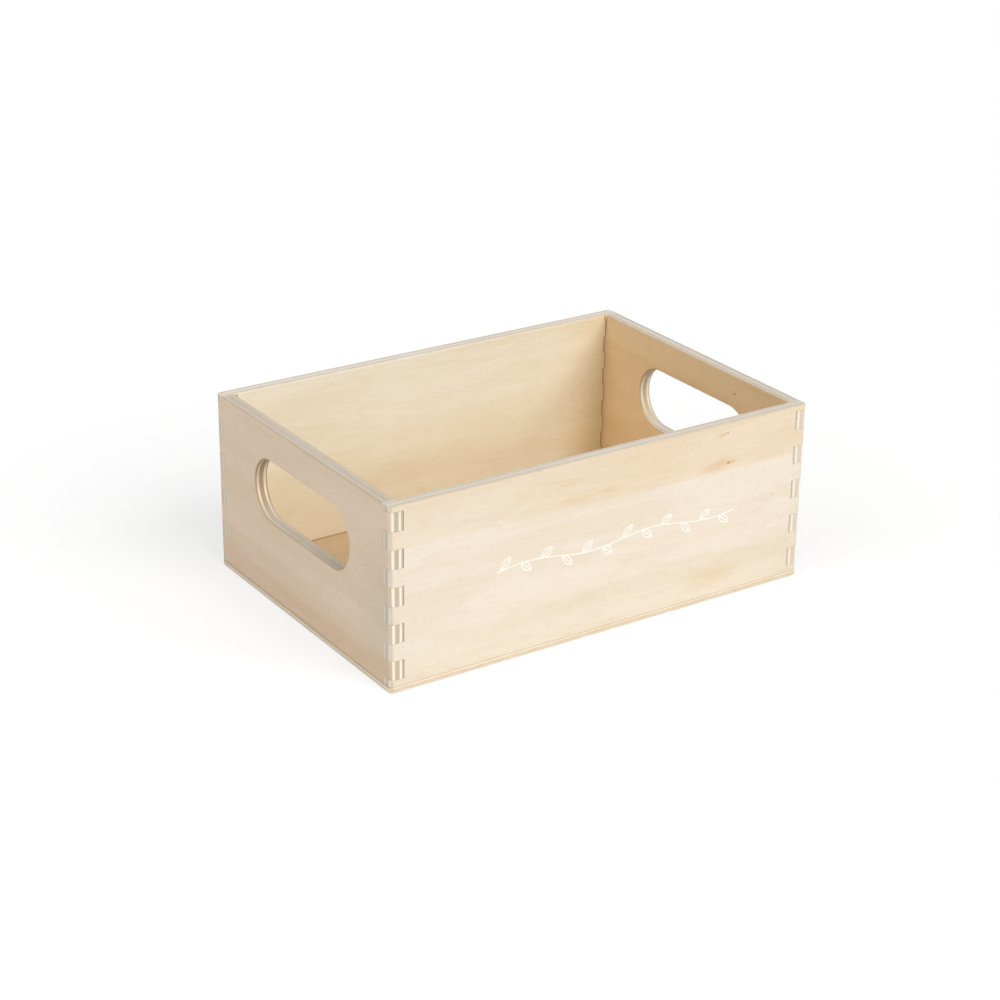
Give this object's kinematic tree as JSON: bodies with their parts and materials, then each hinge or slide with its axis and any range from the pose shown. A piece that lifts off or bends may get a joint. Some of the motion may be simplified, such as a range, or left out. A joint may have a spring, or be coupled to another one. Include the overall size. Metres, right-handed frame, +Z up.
{
  "type": "wooden apple crate",
  "caption": "Small open-topped plywood crate with finger-jointed corners, a flat glued-on bottom and a rounded hand slot in each end.",
  "frame": {"origin": "middle of the footprint, on the surface the crate stands on", "axes": "+X along the crate's length towards the right end, +Y across its width towards the back panel, +Z up through the open top"},
  "size_m": [0.206, 0.1424, 0.08],
  "materials": {
    "front_panel": "unfinished light poplar plywood, sanded smooth",
    "back_panel": "unfinished light poplar plywood, sanded smooth",
    "left_end": "unfinished light poplar plywood, sanded smooth",
    "right_end": "unfinished light poplar plywood, sanded smooth",
    "bottom_panel": "unfinished thin light plywood, sanded smooth"
  },
  "bodies": {
    "root": {"front_panel": "front_panel", "back_panel": "back_panel", "left_end": "left_end", "right_end": "right_end", "bottom_panel": "bottom_panel"}
  },
  "joints": []
}
